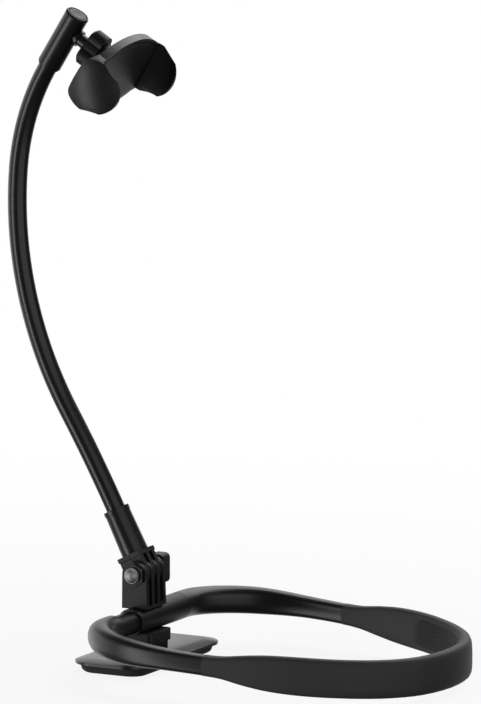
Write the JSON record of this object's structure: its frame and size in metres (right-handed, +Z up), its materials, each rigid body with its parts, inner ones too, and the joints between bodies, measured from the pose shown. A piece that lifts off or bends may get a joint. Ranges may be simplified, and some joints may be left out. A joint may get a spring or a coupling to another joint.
{
  "type": "neck phone holder",
  "caption": "Neck-worn phone holder: padded neck ring, chest pad, finger hinge with thumb knob, bendable arm and a spring phone clamp on a ball joint.",
  "frame": {"origin": "centre of the chest pad underside, on the surface it stands on", "axes": "+Z up, +X across the wearer toward the hinge nut, +Y toward the back of the neck, -Y the side the arm leans to"},
  "size_m": [0.1696, 0.2634, 0.344],
  "materials": {
    "gloss_black": "smooth satin gloss",
    "matt_black": "fine matt moulding",
    "silicone": "matt silicone",
    "soft": "soft matt pad",
    "sleeve": "smooth sheath with a soft sheen",
    "steel": "plain bright steel"
  },
  "bodies": {
    "base": {"hub_tube": "gloss_black", "hinge_block": "matt_black", "pad_post": "matt_black", "chest_plate": "matt_black", "chest_pad": "soft", "plate_screws": "steel", "hinge_nut": "steel"},
    "knob": {"thumb_knob": "matt_black", "hinge_bolt": "steel"},
    "arm": {"fork": "matt_black", "lower_ferrule": "matt_black", "goose_sleeve": "sleeve", "goose_core": "steel", "top_ferrule": "matt_black", "top_cap": "gloss_black"},
    "stud": {"ball_stud": "matt_black"},
    "collar": {"collar_nut": "matt_black"},
    "clamp": {"clamp_body": "matt_black", "clamp_cover": "matt_black", "back_pad": "soft", "fixed_liner": "soft", "guide_rods": "steel", "clamp_spring": "steel"},
    "jaw": {"moving_jaw": "matt_black", "moving_liner": "soft"},
    "ring": {"arm_near": "gloss_black", "arm_far": "gloss_black", "neck_band": "silicone", "band_core": "steel"}
  },
  "joints": [
    {"name": "knob_turn", "type": "hinge", "parent": "base", "child": "knob", "pos_m": [0, -0.001, 0.0478], "axis": [-1, 0, 0], "continuous": true},
    {"name": "arm_tilt", "type": "hinge", "parent": "base", "child": "arm", "pos_m": [0, -0.001, 0.0478], "axis": [1, 0, 0], "range_deg": [-50, 40]},
    {"name": "head_roll", "type": "hinge", "parent": "arm", "child": "stud", "pos_m": [0, -0.02863, 0.32147], "axis": [0, 0.8536, -0.521], "continuous": true},
    {"name": "head_tilt", "type": "hinge", "parent": "stud", "child": "collar", "pos_m": [0, -0.02863, 0.32147], "axis": [1, 0, 0], "range_deg": [-14, 14]},
    {"name": "clamp_turn", "type": "hinge", "parent": "collar", "child": "clamp", "pos_m": [0, -0.02863, 0.32147], "axis": [0, 0.8536, -0.521], "continuous": true},
    {"name": "jaw_slide", "type": "slide", "parent": "clamp", "child": "jaw", "axis": [1, 0, 0], "range_m": [0, 0.028], "stiffness_N_per_m": 120, "springref_m": -0.02, "deforming": ["clamp_spring"]},
    {"name": "ring_tilt", "type": "hinge", "parent": "base", "child": "ring", "pos_m": [0, 0, 0.0235], "axis": [1, 0, 0], "range_deg": [0, 70]}
  ]
}
